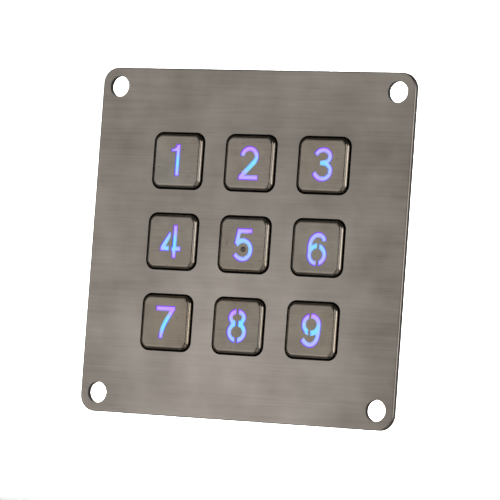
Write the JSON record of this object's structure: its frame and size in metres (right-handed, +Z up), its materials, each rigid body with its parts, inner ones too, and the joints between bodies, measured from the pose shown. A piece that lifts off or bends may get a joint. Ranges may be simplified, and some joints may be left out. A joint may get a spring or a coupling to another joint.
{
  "type": "metal numeric keypad",
  "caption": "Square stainless steel panel-mount keypad: back-lit push keys with cut digits in a flat face plate, with mounting holes at its corners.",
  "frame": {"origin": "centre of the four mounting holes, on the back face of the face plate", "axes": "+Z up, +X to the right of a person facing the keys, +Y from the face plate into the panel (the keys face -Y)"},
  "size_m": [0.086, 0.0157, 0.086],
  "materials": {
    "brushed_stainless": "horizontal brushed grain",
    "key_stainless": "fine satin",
    "lit_resin": "clear violet-blue, lit from behind",
    "silicone_rubber": "satin translucent grey",
    "carbon_pill": "matt",
    "black_plastic": "fine moulded texture",
    "gasket_rubber": "matt",
    "solder_mask": "green solder mask over glass laminate",
    "gold_pads": "thin gold plating",
    "led_body": "moulded white with clear top",
    "resistor_body": "glazed ceramic",
    "header_nylon": "natural nylon",
    "tinned_brass": "bright tin",
    "polyester_film": "clear film",
    "back_steel": "mill finish sheet",
    "zinc_steel": "bright zinc plating"
  },
  "bodies": {
    "root": {"front_plate": "brushed_stainless", "weld_studs": "zinc_steel", "sealing_gasket": "gasket_rubber", "key_guide_frame": "black_plastic", "keymat_sheet": "silicone_rubber", "circuit_board": "solder_mask", "contact_pads": "gold_pads", "key_leds": "led_body", "resistors": "resistor_body", "cable_header": "header_nylon", "header_pins": "tinned_brass", "insulating_film": "polyester_film", "back_plate": "back_steel", "stud_washers": "zinc_steel", "stud_nuts": "zinc_steel"},
    "key_1": {"key_1_cap": "key_stainless", "key_1_light_guide": "lit_resin", "key_1_dome": "silicone_rubber", "key_1_pill": "carbon_pill"},
    "key_2": {"key_2_cap": "key_stainless", "key_2_light_guide": "lit_resin", "key_2_dome": "silicone_rubber", "key_2_pill": "carbon_pill"},
    "key_3": {"key_3_cap": "key_stainless", "key_3_light_guide": "lit_resin", "key_3_dome": "silicone_rubber", "key_3_pill": "carbon_pill"},
    "key_4": {"key_4_cap": "key_stainless", "key_4_light_guide": "lit_resin", "key_4_dome": "silicone_rubber", "key_4_pill": "carbon_pill"},
    "key_5": {"key_5_cap": "key_stainless", "key_5_light_guide": "lit_resin", "key_5_dome": "silicone_rubber", "key_5_pill": "carbon_pill"},
    "key_6": {"key_6_cap": "key_stainless", "key_6_light_guide": "lit_resin", "key_6_dome": "silicone_rubber", "key_6_pill": "carbon_pill"},
    "key_7": {"key_7_cap": "key_stainless", "key_7_light_guide": "lit_resin", "key_7_dome": "silicone_rubber", "key_7_pill": "carbon_pill"},
    "key_8": {"key_8_cap": "key_stainless", "key_8_light_guide": "lit_resin", "key_8_dome": "silicone_rubber", "key_8_pill": "carbon_pill"},
    "key_9": {"key_9_cap": "key_stainless", "key_9_light_guide": "lit_resin", "key_9_dome": "silicone_rubber", "key_9_pill": "carbon_pill"}
  },
  "joints": [
    {"name": "key_1_press", "type": "slide", "parent": "root", "child": "key_1", "axis": [0, 1, 0], "range_m": [0, 0.00075], "stiffness_N_per_m": 1500, "springref_m": -0.0005, "deforming": ["key_1_dome"]},
    {"name": "key_2_press", "type": "slide", "parent": "root", "child": "key_2", "axis": [0, 1, 0], "range_m": [0, 0.00075], "stiffness_N_per_m": 1500, "springref_m": -0.0005, "deforming": ["key_2_dome"]},
    {"name": "key_3_press", "type": "slide", "parent": "root", "child": "key_3", "axis": [0, 1, 0], "range_m": [0, 0.00075], "stiffness_N_per_m": 1500, "springref_m": -0.0005, "deforming": ["key_3_dome"]},
    {"name": "key_4_press", "type": "slide", "parent": "root", "child": "key_4", "axis": [0, 1, 0], "range_m": [0, 0.00075], "stiffness_N_per_m": 1500, "springref_m": -0.0005, "deforming": ["key_4_dome"]},
    {"name": "key_5_press", "type": "slide", "parent": "root", "child": "key_5", "axis": [0, 1, 0], "range_m": [0, 0.00075], "stiffness_N_per_m": 1500, "springref_m": -0.0005, "deforming": ["key_5_dome"]},
    {"name": "key_6_press", "type": "slide", "parent": "root", "child": "key_6", "axis": [0, 1, 0], "range_m": [0, 0.00075], "stiffness_N_per_m": 1500, "springref_m": -0.0005, "deforming": ["key_6_dome"]},
    {"name": "key_7_press", "type": "slide", "parent": "root", "child": "key_7", "axis": [0, 1, 0], "range_m": [0, 0.00075], "stiffness_N_per_m": 1500, "springref_m": -0.0005, "deforming": ["key_7_dome"]},
    {"name": "key_8_press", "type": "slide", "parent": "root", "child": "key_8", "axis": [0, 1, 0], "range_m": [0, 0.00075], "stiffness_N_per_m": 1500, "springref_m": -0.0005, "deforming": ["key_8_dome"]},
    {"name": "key_9_press", "type": "slide", "parent": "root", "child": "key_9", "axis": [0, 1, 0], "range_m": [0, 0.00075], "stiffness_N_per_m": 1500, "springref_m": -0.0005, "deforming": ["key_9_dome"]}
  ]
}
